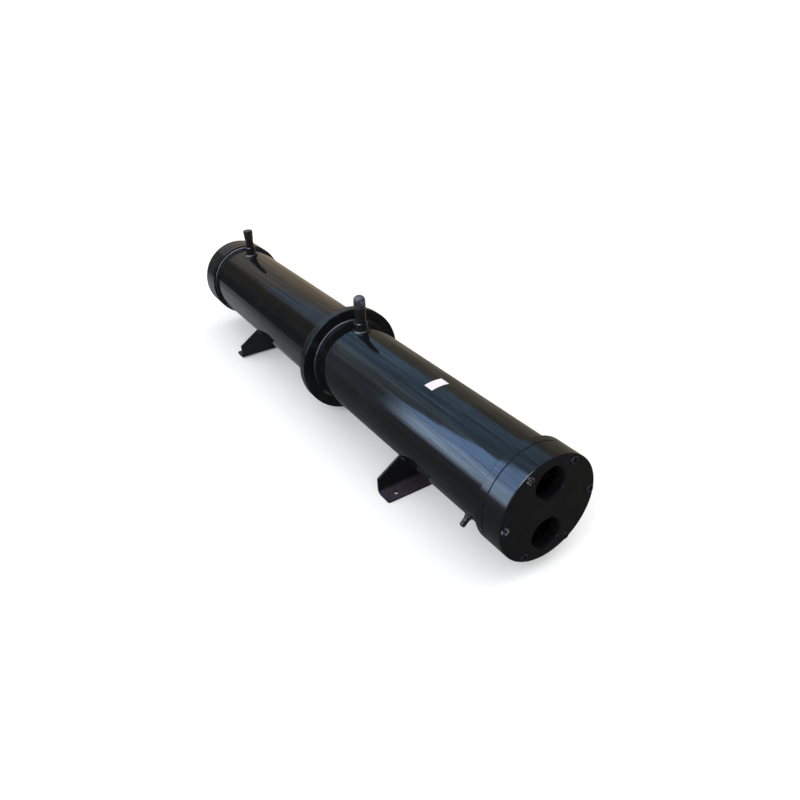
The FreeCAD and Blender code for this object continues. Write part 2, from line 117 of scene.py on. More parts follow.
# Colours: the range of a tone, or the tone and then what lies on it
ENAMEL = (0.0042, 0.0044, 0.0050)
ENAMEL_DUST = (0.018, 0.018, 0.018)
CASTING_PAINT = ((0.0034, 0.0034, 0.0040), (0.0062, 0.0062, 0.0068))
STUB_ENAMEL = (0.0055, 0.0054, 0.0062)
STUB_DUST = (0.024, 0.023, 0.023)
BEAD_PAINT = (0.0040, 0.0040, 0.0048)
BEAD_SPATTER = (0.010, 0.010, 0.012)
FOOT_PAINT = ((0.0018, 0.0018, 0.0022), (0.0050, 0.0046, 0.0056))
FOOT_DUST = ((0.011, 0.0085, 0.013), (0.028, 0.023, 0.031))
FOOT_SPECKS = (0.085, 0.076, 0.092)
RUST = (0.030, 0.015, 0.010)
BLACK_OXIDE = (0.010, 0.010, 0.013)
# The bright tone of the screw heads' painted glints
GLINT_TONE = (0.20, 0.20, 0.225)
RUBBER = ((0.0025, 0.0025, 0.0025), (0.008, 0.008, 0.0075))
BARE_COPPER = (0.100, 0.050, 0.033)
FILMED_COPPER = (0.026, 0.016, 0.013)
PALE_CAP = (0.024, 0.022, 0.027)
PALE_CAP_BLEMISH = (0.118, 0.112, 0.130)
BLACK_CAP = (0.0070, 0.0072, 0.0085)
BLACK_CAP_BLEMISH = (0.042, 0.033, 0.022)
LABEL_FILM = ((0.66, 0.58, 0.62), (0.72, 0.69, 0.71))
LABEL_MARKS = (0.46, 0.41, 0.44)

# Refractive index. The usual one serves the glossy paints, the oiled screws and the gaskets
USUAL_IOR = 1.5
DULL_PAINT_IOR = 1.45
CAP_IOR = 1.47
LABEL_IOR = 1.45

# Camera: its place from the axis at mid length, its angles in degrees and its lens in
# millimetres, fitted to the photo's outlines
CAMERA_FROM_AXIS = Vector((1.459, -0.742, 0.845))
CAMERA_YAW = 31.9
CAMERA_PITCH = 31.4
CAMERA_ROLL = -2.3
CAMERA_LENS = 30.2
CAMERA_SENSOR = 36.0

# Floor and light
FLOOR_HALF_SIZE = 150.0
FLOOR_GAP = 0.0004
FLOOR_TONE = 0.90
FLOOR_MOTTLE_TONE = 0.985 * FLOOR_TONE
FLOOR_MOTTLE_SIZE = 0.6
FLOOR_ROUGHNESS = 0.9
AMBIENT_STRENGTH = 1.15
CAMERA_SEES_TO = 3 * FLOOR_HALF_SIZE

# Soft lights: the power in watts, and the point that both face
SoftLight = namedtuple("SoftLight", "place size power colour")
KEY_LIGHT = SoftLight((1.2, -2.6, 2.4), (2.4, 1.6), 60.0, (0.95, 0.98, 1.0))
FILL_LIGHT = SoftLight((1.5, 2.4, 2.6), (2.0, 2.0), 24.0, (1.0, 0.97, 0.93))
LIGHTS_FACE = Vector((0, 0, 0.15))

AXIS_LOW, AXIS_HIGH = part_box("front_shell")
AXIS_Z = (AXIS_LOW.z + AXIS_HIGH.z) / 2
SHELL_RADIUS = (AXIS_HIGH.z - AXIS_LOW.z) / 2
ON_AXIS = Vector((0, 0, AXIS_Z))
ALONG_X = Vector((1, 0, 0))
UP = Vector((0, 0, 1))


# ---------------------------------------------------------------- finishes

class Finish:
    """A procedural material while it is put together."""

    def __init__(self, name):
        self.material = bpy.data.materials.new(name)
        self.material.use_nodes = True
        self.tree = self.material.node_tree
        self.shader = self.tree.nodes["Principled BSDF"]
        self.place = self.add("ShaderNodeTexCoord").outputs["Object"]

    def add(self, kind, **settings):
        node = self.tree.nodes.new(kind)
        for setting, value in settings.items():
            setattr(node, setting, value)
        return node

    def feed(self, socket, value):
        """Links an output to a socket, or writes a plain value on it."""
        if isinstance(value, bpy.types.NodeSocket):
            self.tree.links.new(value, socket)
        else:
            socket.default_value = value

    def axes(self, vector):
        """The outputs X, Y and Z of a vector."""
        parts = self.add("ShaderNodeSeparateXYZ")
        self.feed(parts.inputs[0], vector)
        return parts.outputs

    def facing(self):
        """The outputs X, Y and Z of the way the surface faces."""
        return self.axes(self.add("ShaderNodeTexCoord").outputs["Normal"])

    def stretched(self, stretch):
        """The place in the object, with each axis divided by a length."""
        mapping = self.add("ShaderNodeMapping")
        self.feed(mapping.inputs["Vector"], self.place)
        mapping.inputs["Scale"].default_value = [1 / length for length in stretch]
        return mapping.outputs["Vector"]

    def noise(self, size, detail=3.0, roughness=0.5, distortion=0.0):
        """Soft noise from 0 to 1. The size is a length, or one for each axis."""
        stretch = size if isinstance(size, tuple) else (size, size, size)
        texture = self.add("ShaderNodeTexNoise")
        self.feed(texture.inputs["Vector"], self.stretched(stretch))
        texture.inputs["Scale"].default_value = 1.0
        texture.inputs["Detail"].default_value = detail
        texture.inputs["Roughness"].default_value = roughness
        texture.inputs["Distortion"].default_value = distortion
        return texture.outputs["Fac"]

    def grains(self, size):
        """The distance to the nearest of scattered points, for specks and grain."""
        texture = self.add("ShaderNodeTexVoronoi")
        self.feed(texture.inputs["Vector"], self.stretched((size, size, size)))
        texture.inputs["Scale"].default_value = 1.0
        return texture.outputs["Distance"]

    def between(self, value, low, high, to_low=0.0, to_high=1.0):
        """A smooth step of a value from one range to another."""
        step = self.add("ShaderNodeMapRange", interpolation_type="SMOOTHSTEP")
        self.feed(step.inputs["Value"], value)
        step.inputs["From Min"].default_value = low
        step.inputs["From Max"].default_value = high
        step.inputs["To Min"].default_value = to_low
        step.inputs["To Max"].default_value = to_high
        return step.outputs["Result"]

    def math(self, operation, *values):
        node = self.add("ShaderNodeMath", operation=operation)
        for socket, value in zip(node.inputs, values):
            self.feed(socket, value)
        return node.outputs[0]

    def mix(self, share, first, second):
        """A colour between two, each a colour or an output."""
        node = self.add("ShaderNodeMix", data_type="RGBA")
        self.feed(node.inputs["Factor"], share)
        for socket, value in ((node.inputs[6], first), (node.inputs[7], second)):
            self.feed(socket, value if isinstance(value, bpy.types.NodeSocket) else (*value, 1.0))
        return node.outputs[2]

    def raised(self, height, depth, below=None, strength=1.0):
        """Bump of a real depth in metres, on top of another bump."""
        bump = self.add("ShaderNodeBump")
        self.feed(bump.inputs["Height"], height)
        bump.inputs["Distance"].default_value = depth
        bump.inputs["Strength"].default_value = strength
        if below is not None:
            self.feed(bump.inputs["Normal"], below)
        return bump.outputs["Normal"]

    def done(self, colour, roughness, normal=None, metallic=0.0, **uniform):
        """Joins the finish to the shader. What is uniform is written on the shader itself."""
        self.feed(self.shader.inputs["Base Color"], colour)
        self.feed(self.shader.inputs["Roughness"], roughness)
        self.feed(self.shader.inputs["Metallic"], metallic)
        if normal is not None:
            self.feed(self.shader.inputs["Normal"], normal)
        for name, value in uniform.items():
            self.shader.inputs[name.replace("_", " ")].default_value = value
        return self.material


def distances(finish):
    """How far along the vessel a place is, and how far from its axis."""
    axes = finish.axes(finish.place)
    across = finish.math("POWER", axes["Y"], 2.0)
    up = finish.math("POWER", finish.math("SUBTRACT", axes["Z"], AXIS_Z), 2.0)
    return axes["X"], finish.math("SQRT", finish.math("ADD", across, up))


def rim_dust_and_sheen(finish, along, radius):
    """Dust and a painted sheen in fine light rings round the rims of the tube sheets and cover away from
    the ports: the light tone stands in for the light the rims mirror.
    """
    far = finish.between(along, DUST_AND_SHEEN_RIMS_FROM, DUST_AND_SHEEN_RIMS_FROM - DUST_AND_SHEEN_RIMS_FADE)
    beyond_shell = finish.between(radius, DUST_AND_SHEEN_RIM_RADIUS, DUST_AND_SHEEN_RIM_RADIUS + DUST_AND_SHEEN_RIM_EDGE)
    endways = finish.math("ABSOLUTE", finish.facing()["X"])
    on_rim = finish.between(endways, *RIM_FACING, 1.0, 0.0)
    rings = finish.between(finish.noise(RIM_RING_SIZE, 3.0, 0.6), 0.38, 0.66)
    rims = finish.math("MULTIPLY", finish.math("MULTIPLY", far, beyond_shell), on_rim)
    return finish.math("MULTIPLY", rims, rings)


def gloss_paint(name, tone, dust_tone, roughness_range, peel_depth, rim_share):
    """Black enamel: orange peel, long waves of the plate beneath, thin dust and fine rubs."""
    finish = Finish(name)
    dust_patches = finish.between(finish.noise(0.16, 5.0, 0.6), 0.50, 0.80)
    dust_specks = finish.between(finish.noise(0.0035, 2.0, 0.6), 0.60, 0.74, 0.55, 1.0)
    pale_overlay = finish.math("MULTIPLY", dust_patches, dust_specks)
    rubs = finish.noise((0.14, 0.004, 0.004), 3.0, 0.6)
    # On the rims: dust and a painted sheen in light rings
    on_rims = finish.math("MULTIPLY", rim_dust_and_sheen(finish, *distances(finish)), rim_share)
    colour = finish.mix(on_rims, finish.mix(pale_overlay, tone, dust_tone), RIM_DUST_AND_SHEEN)
    roughness = finish.between(finish.noise(0.09, 4.0, 0.55), 0.3, 0.75, *roughness_range)
    roughness = finish.math("ADD", roughness, finish.between(rubs, 0.58, 0.75, 0.0, 0.03))
    roughness = finish.math("ADD", roughness, finish.math("MULTIPLY", pale_overlay, 0.10))
    roughness = finish.math("ADD", roughness, finish.math("MULTIPLY", on_rims, RIM_DUST_AND_SHEEN_ROUGHNESS))
    waves = finish.raised(finish.noise((0.9, 0.05, 0.05), 2.0, 0.5), 0.0004)
    ripple = finish.raised(finish.noise((0.045, 0.016, 0.016), 3.0, 0.55), 0.00009, waves)
    peel = finish.raised(finish.noise(0.0034, 1.0, 0.4), peel_depth, ripple)
    return finish.done(colour, roughness, peel, IOR=USUAL_IOR)


def vessel_paint():
    return gloss_paint(
        "vessel_paint", ENAMEL, ENAMEL_DUST,
        roughness_range=(0.030, 0.070), peel_depth=0.0000020, rim_share=1.0,
    )


def cover_paint():
    """The same gloss on turned castings, over the rings the lathe left, with dust and a painted sheen on
    the rims away from the ports.
    """
    finish = Finish("cover_paint")
    along, radius = distances(finish)
    turned = finish.add("ShaderNodeCombineXYZ")
    finish.feed(turned.inputs["X"], finish.math("DIVIDE", along, LATHE_PITCH))
    finish.feed(turned.inputs["Y"], finish.math("DIVIDE", radius, LATHE_PITCH))
    rings = finish.add("ShaderNodeTexNoise")
    finish.feed(rings.inputs["Vector"], turned.outputs[0])
    rings.inputs["Scale"].default_value = 1.0
    rings.inputs["Detail"].default_value = 2.0
    blotches = finish.noise(0.05, 4.0, 0.6)
    # On the rims: dust and a painted sheen in light rings
    pale_overlay = rim_dust_and_sheen(finish, along, radius)
    colour = finish.mix(blotches, *CASTING_PAINT)
    colour = finish.mix(pale_overlay, colour, RIM_DUST_AND_SHEEN)
    roughness = finish.between(blotches, 0.3, 0.7, 0.06, 0.12)
    roughness = finish.math("ADD", roughness, finish.math("MULTIPLY", pale_overlay, RIM_DUST_AND_SHEEN_ROUGHNESS))
    lumps = finish.raised(finish.noise((0.10, 0.014, 0.014), 2.0, 0.5), 0.00005)
    normal = finish.raised(rings.outputs["Fac"], 0.000020, lumps)
    return finish.done(colour, roughness, normal, IOR=USUAL_IOR)


def stub_paint():
    return gloss_paint(
        "stub_paint", STUB_ENAMEL, STUB_DUST,
        roughness_range=(0.08, 0.16), peel_depth=0.000012, rim_share=0.0,
    )


def weld_paint():
    """The same black over the beads: rougher, spattered, and paler low down, with dust and painted light
    that lifts the shaded lower welds.
    """
    finish = Finish("weld_paint")
    spatter = finish.between(finish.grains(0.0044), 0.08, 0.24, 1.0, 0.0)
    mottle = finish.noise(0.007, 4.0, 0.65)
    # Paler low down: dust, and painted light on the shaded lower welds
    dust_and_light_from = AXIS_Z - SHELL_RADIUS * WELD_DUST_AND_LIGHT_FROM
    dust_and_light_to = AXIS_Z - SHELL_RADIUS * WELD_DUST_AND_LIGHT_TO
    low_down = finish.between(finish.axes(finish.place)["Z"], dust_and_light_from, dust_and_light_to)
    pale_overlay = finish.math("MULTIPLY", low_down, finish.between(mottle, 0.35, 0.62, 0.25, 1.0))
    colour = finish.mix(spatter, BEAD_PAINT, BEAD_SPATTER)
    colour = finish.mix(finish.math("MULTIPLY", pale_overlay, 0.85), colour, WELD_DUST_AND_LIGHT)
    roughness = finish.between(mottle, 0.40, 0.60, 0.08, 0.26)
    grit = finish.raised(finish.noise(0.0034, 2.0, 0.5), 0.00020)
    normal = finish.raised(spatter, 0.00005, grit)
    return finish.done(colour, roughness, normal, IOR=USUAL_IOR)


def foot_paint():
    """Thin dull paint on cut plate, paler at the plain end. Speckled dust lies on what faces up."""
    finish = Finish("foot_paint")
    mottle = finish.noise(0.022, 5.0, 0.65)
    specks = finish.between(finish.grains(0.0046), 0.10, 0.34, 1.0, 0.0)
    scatter = finish.between(finish.noise(0.010, 3.0, 0.6), 0.40, 0.60)
    upward = finish.between(finish.facing()["Z"], 0.45, 0.95)
    paint = finish.mix(mottle, *FOOT_PAINT)
    along = finish.axes(finish.place)["X"]
    paint = finish.mix(finish.between(along, PALE_FOOT_FROM, PALE_FOOT_TO), paint, PALE_FOOT_PAINT)
    dusty = finish.mix(mottle, *FOOT_DUST)
    dusty = finish.mix(finish.math("MULTIPLY", specks, scatter), dusty, FOOT_SPECKS)
    colour = finish.mix(upward, paint, dusty)
    rust = finish.between(finish.noise(0.03, 6.0, 0.7), 0.64, 0.71)
    colour = finish.mix(finish.math("MULTIPLY", rust, 0.30), colour, RUST)
    roughness = finish.between(mottle, 0.3, 0.7, 0.42, 0.62)
    mill = finish.raised(finish.noise(0.009, 4.0, 0.6), 0.00018)
    normal = finish.raised(finish.noise(0.0012, 2.0, 0.6), 0.00006, mill)
    return finish.done(colour, roughness, normal, IOR=DULL_PAINT_IOR)


def screw_steel():
    """Black oxide with a film of oil. The heads towards the glint side get bright patches in places:
    painted glints, not wear.
    """
    finish = Finish("screw_steel")
    off_axis = finish.add("ShaderNodeVectorMath", operation="SUBTRACT")
    finish.feed(off_axis.inputs[0], finish.place)
    off_axis.inputs[1].default_value = ON_AXIS
    towards = finish.add("ShaderNodeVectorMath", operation="DOT_PRODUCT")
    finish.feed(towards.inputs[0], off_axis.outputs[0])
    towards.inputs[1].default_value = GLINT_SIDE
    on_glint_side = finish.between(
        towards.outputs["Value"], GLINT_FROM * SHELL_RADIUS, GLINT_TO * SHELL_RADIUS, 0.10, 1.0
    )
    # Painted glints: bright patches on the heads towards the glint side
    glint_patches = finish.between(finish.noise(0.0062, 3.0, 0.6), 0.47, 0.60)
    painted_glint = finish.math("MULTIPLY", on_glint_side, glint_patches)
    colour = finish.mix(painted_glint, BLACK_OXIDE, GLINT_TONE)
    roughness = finish.between(finish.noise(0.006, 3.0, 0.5), 0.3, 0.7, 0.16, 0.30)
    normal = finish.raised(finish.noise(0.0007, 2.0, 0.5), 0.00002)
    return finish.done(colour, roughness, normal, 0.15, IOR=USUAL_IOR)


def gasket_rubber():
    finish = Finish("gasket_rubber")
    mottle = finish.noise(0.004, 4.0, 0.6)
    colour = finish.mix(mottle, *RUBBER)
    normal = finish.raised(finish.noise(0.0008, 2.0, 0.5), 0.00005)
    return finish.done(colour, finish.between(mottle, 0.3, 0.7, 0.62, 0.85), normal, IOR=USUAL_IOR)


def tube_copper():
    """Drawn copper under a dark film: draw lines along the tube, and thin spots in the film."""
    finish = Finish("tube_copper")
    lines = finish.noise((0.20, 0.0008, 0.0008), 3.0, 0.6)
    film = finish.between(finish.noise(0.015, 5.0, 0.65), 0.30, 0.62)
    colour = finish.mix(film, BARE_COPPER, FILMED_COPPER)
    roughness = finish.between(film, 0.0, 1.0, 0.30, 0.58)
    return finish.done(colour, roughness, finish.raised(lines, 0.00003), 0.8)


def cap_plastic(name, tone, blemish, blemish_share, wrinkle_depth, roughness_range):
    """Thin soft plastic: mottled, with pale wrinkles and scuffs."""
    finish = Finish(name)
    mottle = finish.between(finish.noise(0.0060, 4.0, 0.65), 0.36, 0.64)
    off_crest = finish.math("ABSOLUTE", finish.math("SUBTRACT", finish.noise(0.0095, 2.0, 0.55, 0.6), 0.5))
    wrinkles = finish.between(off_crest, 0.0, 0.075, 1.0, 0.0)
    scuffs = finish.between(finish.noise(0.0030, 3.0, 0.7), 0.50, 0.62)
    blemishes = finish.math("MULTIPLY", finish.math("MAXIMUM", wrinkles, scuffs), blemish_share)
    colour = finish.mix(mottle, [share * 0.40 for share in tone], tone)
    colour = finish.mix(blemishes, colour, blemish)
    roughness = finish.between(mottle, 0.0, 1.0, *roughness_range)
    lumps = finish.raised(finish.noise(0.0048, 3.0, 0.6), wrinkle_depth)
    normal = finish.raised(wrinkles, wrinkle_depth, lumps)
    return finish, colour, roughness, normal


def front_cap_plastic():
    """The pale cap: dark and light grains all over, and darker towards its open end."""
    finish, colour, roughness, normal = cap_plastic(
        "front_cap_plastic", PALE_CAP, PALE_CAP_BLEMISH,
        blemish_share=0.80, wrinkle_depth=0.00040, roughness_range=(0.30, 0.52),
    )
    low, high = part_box("front_gas_cap")
    shade_top = low.z + CAP_SHADE_REACH * (high.z - low.z)
    in_shade = finish.between(finish.axes(finish.place)["Z"], low.z, shade_top, 0.80, 0.0)
    grain = finish.between(finish.grains(0.0042), 0.20, 0.50, 0.85, 0.0)
    colour = finish.mix(finish.math("MAXIMUM", in_shade, grain), colour, CAP_SHADE)
    return finish.done(colour, roughness, normal, IOR=CAP_IOR)


def black_cap_plastic():
    finish, colour, roughness, normal = cap_plastic(
        "black_cap_plastic", BLACK_CAP, BLACK_CAP_BLEMISH,
        blemish_share=0.45, wrinkle_depth=0.00012, roughness_range=(0.14, 0.30),
    )
    return finish.done(colour, roughness, normal, IOR=CAP_IOR)


def label_paper():
    """Blank white film with a faint rosy cast in places, and soft handling marks."""
    finish = Finish("label_paper")
    fibres = finish.noise(0.0009, 3.0, 0.6)
    cast = finish.between(finish.noise(0.02, 2.0, 0.5), 0.35, 0.65)
    colour = finish.mix(cast, *LABEL_FILM)
    marks = finish.between(finish.noise(0.006, 4.0, 0.7), 0.58, 0.74)
    colour = finish.mix(finish.math("MULTIPLY", marks, 0.30), colour, LABEL_MARKS)
    normal = finish.raised(fibres, 0.00003)
    return finish.done(colour, finish.between(fibres, 0.3, 0.7, 0.42, 0.60), normal, IOR=LABEL_IOR)


FINISHES = {
    maker.__name__: maker() for maker in (
        vessel_paint, cover_paint, stub_paint, weld_paint, foot_paint, screw_steel,
        gasket_rubber, tube_copper, front_cap_plastic, black_cap_plastic, label_paper,
    )
}


def finish_cad_nodes():
    """Gives each CAD node the finish of its own slot in the record."""
    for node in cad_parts.values():
        for slot in node.material_slots:
            slot.material = FINISHES[slot.material.name]


# ---------------------------------------------------------------- made pieces

def add_piece(name, mesh, slot, replaced=()):
    """Puts a finished mesh into the scene as a piece that rides on the one body."""
    piece = bpy.data.objects.new(name, mesh)
    bpy.context.scene.collection.objects.link(piece)
    mesh.materials.append(FINISHES[slot])
    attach(piece, "root")
    if replaced:
        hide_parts(*replaced)


def skinned(name, sections, closed):
    """A smooth mesh through sections of equally many points, capped where it is open."""
    form = bmesh.new()
    rings = [[form.verts.new(point) for point in section] for section in sections]
    count = len(rings[0])
    pairs = list(zip(rings, rings[1:]))
    if closed:
        pairs.append((rings[-1], rings[0]))
    for near, far in pairs:
        for index in range(count):
            after = (index + 1) % count
            form.faces.new((near[index], near[after], far[after], far[index]))
    if not closed:
        form.faces.new(rings[0])
        form.faces.new(list(reversed(rings[-1])))
    bmesh.ops.recalc_face_normals(form, faces=form.faces)
    for face in form.faces:
        face.smooth = True
    mesh = bpy.data.meshes.new(name)
    form.to_mesh(mesh)
    form.free()
    return mesh


def bead_section(corner, first, second, bead, size, travelled):
    """One section of a weld bead: a bowed fillet with its ripple, and its buried corner."""
    points = []
    for step in range(BEAD_SECTION_STEPS + 1):
        share = step / BEAD_SECTION_STEPS
        turn = share * pi / 2
        bow = RIPPLE_BOW * (2 * share - 1) ** 2
        ripple = 1 - bead.depth * abs(sin(pi * (travelled / bead.pitch + bow))) ** RIPPLE_SHARPNESS
        reach = bead.leg * size * ripple
        along_first = max(cos(turn), 0.0) ** BEAD_FULLNESS
        along_second = max(sin(turn), 0.0) ** BEAD_FULLNESS
        points.append(corner + first * (reach * along_first) + second * (reach * along_second))
    points.append(corner - (first + second) * BEAD_BURIED)
    return points


def weld_bead(name, station, length, bead, closed, replaced=()):
    """A weld bead in the corner between two surfaces.

    The station function takes a share of the way and gives the corner point and the
    directions away from it along both surfaces. Open beads run out thin at both ends."""
    ripples = round(length / bead.pitch)
    steps = ripples * RIPPLE_STEPS
    sections = []
    for index in range(steps if closed else steps + 1):
        share = index / steps
        corner, first, second = station(share)
        size = 1 + bead.wander * smooth_noise(corner / BEAD_WANDER_LENGTH)
        if not closed:
            size *= min(1.0, BEAD_END_SIZE + min(share, 1 - share) * length / (2 * bead.leg))
        sections.append(bead_section(corner, first, second, bead, size, share * ripples * bead.pitch))
    add_piece(name, skinned(name, sections, closed), "weld_paint", replaced)


def ring_weld(node, towards):
    """The bead round a shell, on the face of the tube sheet that the CAD weld stands on."""
    low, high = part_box(node)
    face = low.x if towards > 0 else high.x

    def station(share):
        turn = share * tau
        outward = Vector((0, sin(turn), cos(turn)))
        corner = Vector((face, 0, AXIS_Z)) + outward * SHELL_RADIUS
        return corner, ALONG_X * towards, outward

    weld_bead(node + "_bead", station, tau * SHELL_RADIUS, RING_BEAD, True, (node,))


def stub_weld(stub, cad_leg, bead):
    """The bead round the foot of a stub's socket, along the saddle where it meets the shell."""
    tube_low, tube_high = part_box(stub + "_tube")
    socket_low, socket_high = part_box(stub + "_socket")
    middle = (tube_low + tube_high) / 2
    centre = Vector((middle.x, 0, AXIS_Z))
    outward = (middle - centre).normalized()
    across = ALONG_X.cross(outward)
    radius = (socket_high.x - socket_low.x) / 2 - cad_leg

    def station(share):
        turn = share * tau
        sideways = radius * sin(turn)
        rise = sqrt(SHELL_RADIUS ** 2 - sideways ** 2)
        corner = centre + ALONG_X * (radius * cos(turn)) + across * sideways + outward * rise
        shell_normal = (across * sideways + outward * rise).normalized()
        away = ALONG_X * cos(turn) + across * sin(turn)
        along_shell = (away - shell_normal * away.dot(shell_normal)).normalized()
        return corner, outward, along_shell

    weld_bead(stub + "_weld", station, tau * radius, bead, True)


def foot_weld(name, face, towards):
    """The bead along a foot plate's saddle, on one face of the plate."""
    half = radians(FOOT_WELD_HALF_ANGLE)

    def station(share):
        turn = (2 * share - 1) * half
        outward = Vector((0, sin(turn), -cos(turn)))
        corner = Vector((face, 0, AXIS_Z)) + outward * SHELL_RADIUS
        return corner, ALONG_X * towards, outward

    weld_bead(name, station, 2 * half * SHELL_RADIUS, FOOT_BEAD, False)


def foot_welds():
    front_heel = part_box("front_foot")[0].x
    rear_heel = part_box("rear_foot")[1].x
    foot_weld("front_foot_outer_weld", front_heel, -1)
    foot_weld("front_foot_inner_weld", front_heel + FOOT_PLATE_THICKNESS, 1)
    foot_weld("rear_foot_outer_weld", rear_heel, 1)
    foot_weld("rear_foot_inner_weld", rear_heel - FOOT_PLATE_THICKNESS, -1)


def port_thread(name, z):
    """The ridge of a port's pipe thread, winding inwards from just behind the mouth."""
    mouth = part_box("front_cover")[1].x - THREAD_LEAD_IN
    turns = THREAD_RUN / THREAD_PITCH
    steps = ceil(turns * THREAD_STEPS)
    half_root = THREAD_PITCH / 2 - THREAD_GAP
    sections = []
    for index in range(steps + 1):
        turn = index / THREAD_STEPS
        runout = min(turn, turns - turn) / THREAD_RUNOUT_TURNS
        depth = THREAD_DEPTH * min(1.0, max(runout, THREAD_END_SHARE))
        outward = Vector((0, sin(tau * turn), cos(tau * turn)))
        centre = Vector((mouth - turn * THREAD_PITCH, 0, AXIS_Z + z))
        outline = (
            (-half_root, PORT_RADIUS + THREAD_BURIED), (-THREAD_CREST / 2, PORT_RADIUS - depth),
            (THREAD_CREST / 2, PORT_RADIUS - depth), (half_root, PORT_RADIUS + THREAD_BURIED),
        )
        sections.append([centre + ALONG_X * x + outward * radius for x, radius in outline])
    mesh = skinned(name, sections, False)
    for face in mesh.polygons:
        face.use_smooth = False
    add_piece(name, mesh, "cover_paint")


def made_pieces():
    ring_weld("front_sheet_weld", -1)
    ring_weld("middle_sheet_front_weld", 1)
    ring_weld("middle_sheet_rear_weld", -1)
    ring_weld("rear_sheet_weld", 1)
    for end in ("front", "rear"):
        stub_weld(end + "_gas", GAS_CAD_WELD_LEG, GAS_BEAD)
        stub_weld(end + "_liquid", LIQUID_CAD_WELD_LEG, LIQUID_BEAD)
    foot_welds()
    port_thread("upper_port_thread", PORT_OFFSET)
    port_thread("lower_port_thread", -PORT_OFFSET)


# ---------------------------------------------------------------- floor, light and camera

# What the gloss mirrors, by the angle in degrees round the vessel: 0 is straight up,
# -90 is level on the -Y side and 90 on the +Y side. SIDE is the hall beside the vessel,
# with a cool beamed ceiling and a warm dim +Y side. END lies beyond the plain end.
DARK_FLOOR = (0.11, 0.12, 0.12)
SHADED_WALL = (0.21, 0.25, 0.31)
LIT_WALL = (0.43, 0.52, 0.61)
BRIGHT_EAVES = (0.60, 0.83, 1.10)
BEAM = (0.30, 0.53, 0.76)
CEILING = (0.38, 0.63, 0.92)
WARM_WALL = (0.28, 0.25, 0.19)
SIDE_SURROUNDINGS = (
    (-180, DARK_FLOOR), (-115, DARK_FLOOR),
    (-82, SHADED_WALL), (-62, SHADED_WALL),
    (-50, LIT_WALL), (-38, LIT_WALL),
    (-24, BRIGHT_EAVES), (-11, BEAM), (0, CEILING), (11, BEAM), (24, CEILING), (36, CEILING),
    (48, WARM_WALL), (110, WARM_WALL),
    (160, DARK_FLOOR), (180, DARK_FLOOR),
)
SHADED_GROUND = (0.25, 0.25, 0.26)
SUNLIT_GROUND = (0.36, 0.37, 0.40)
DARK_HEDGE = (0.040, 0.041, 0.047)
DIM_TREES = (0.100, 0.101, 0.084)
PALE_HAZE = (0.43, 0.41, 0.38)
TAN_WALL = (0.47, 0.39, 0.285)
END_SURROUNDINGS = (
    (-180, SHADED_GROUND),
    (-145, SUNLIT_GROUND), (-135, SUNLIT_GROUND),
    (-112, SHADED_GROUND),
    (-104, DARK_HEDGE), (-84, DARK_HEDGE),
    (-66, DIM_TREES), (-36, DIM_TREES),
    (-13, PALE_HAZE), (10, PALE_HAZE),
    (60, TAN_WALL), (105, TAN_WALL),
    (140, SHADED_GROUND), (180, SHADED_GROUND),
)

# By how far a direction points along the vessel: to the plain end, where END takes over
# from SIDE, and to the ported end, where all but the windows and the lamp grows darker
END_VIEW_FROM = 0.795
END_VIEW_TO = 0.832
AWAY_SHADE_FROM = 0.05
AWAY_SHADE_TO = 0.35
AWAY_SHADE = 0.32

# A row of tall windows low on the -Y side: its colour by the same angle, and where it is
# open along the vessel, by the direction's own X. The lintel drops towards both ends.
LOW_PANES = (1.20, 1.50, 1.90)
BRIGHT_PANES = (3.00, 4.15, 5.80)
HIGH_PANES = (1.80, 3.00, 5.20)
WINDOW_PANES = ((-88, LOW_PANES), (-74, BRIGHT_PANES), (-62, BRIGHT_PANES), (-51, HIGH_PANES))
WINDOW_SILL = -88.5
WINDOW_SILL_SOFTNESS = 3.5
LINTEL_HIGHEST = -14.0
LINTEL_AT_TURN = -20.0
LINTEL_TURN = 0.585
LINTEL_DROP = 200.0
LINTEL_SOFTNESS = 4.0
LINTEL_WAVER = 11.0
LINTEL_WAVER_SIZE = (0.030, 0.30, 0.30)
WINDOW_ROW = (
    (-0.748, 0.0), (-0.685, 1.0), (-0.54, 1.0), (-0.50, 0.0),
    (-0.14, 0.0), (-0.10, 0.8), (0.10, 0.8), (0.14, 0.0),
    (0.44, 0.0), (0.50, 0.35), (0.84, 0.35), (0.88, 0.0),
)

# The blue wedge of sky over what lies beyond the plain end, closed at the far side
SKY_WEDGE = (0.35, 0.49, 0.67)
SKY_WEDGE_LOW = -26.0
SKY_WEDGE_HIGH = 17.0
SKY_WEDGE_FROM = 0.831
SKY_WEDGE_CLOSING = 19000.0
SKY_WEDGE_SOFTNESS = 4.0

# The ground there grows brighter with distance
GROUND_FROM = -101.0
GROUND_TO = -108.0
GROUND_NEAR = (0.845, 0.82)
GROUND_FAR = (0.893, 1.35)

# A thin bright tube light under the ceiling, as long as its row, and a round lamp overhead
TUBE_LIGHT_ANGLE = 20.6
TUBE_LIGHT_HALF_WIDTH = 0.9
TUBE_LIGHT_TONE = (1.00, 1.30, 1.60)
TUBE_LIGHT_ROW = ((-0.83, 0.0), (-0.80, 1.0), (-0.745, 1.0), (-0.715, 0.0))
LAMP_TONE = (10.5, 10.8, 12.0)
LAMP_DIRECTION = Vector((0.04, -0.44, 0.90))
LAMP_RADIUS = 19.0
LAMP_SOFTNESS = 3.0

# Lengthwise streaks of the surroundings, wide and narrow, in degrees, and their strength
STREAK_RUN = 0.06
WIDE_STREAK = 6.0
WIDE_STREAK_RANGE = (0.78, 1.22)
NARROW_STREAK = 2.0
NARROW_STREAK_RANGE = (0.72, 1.24)


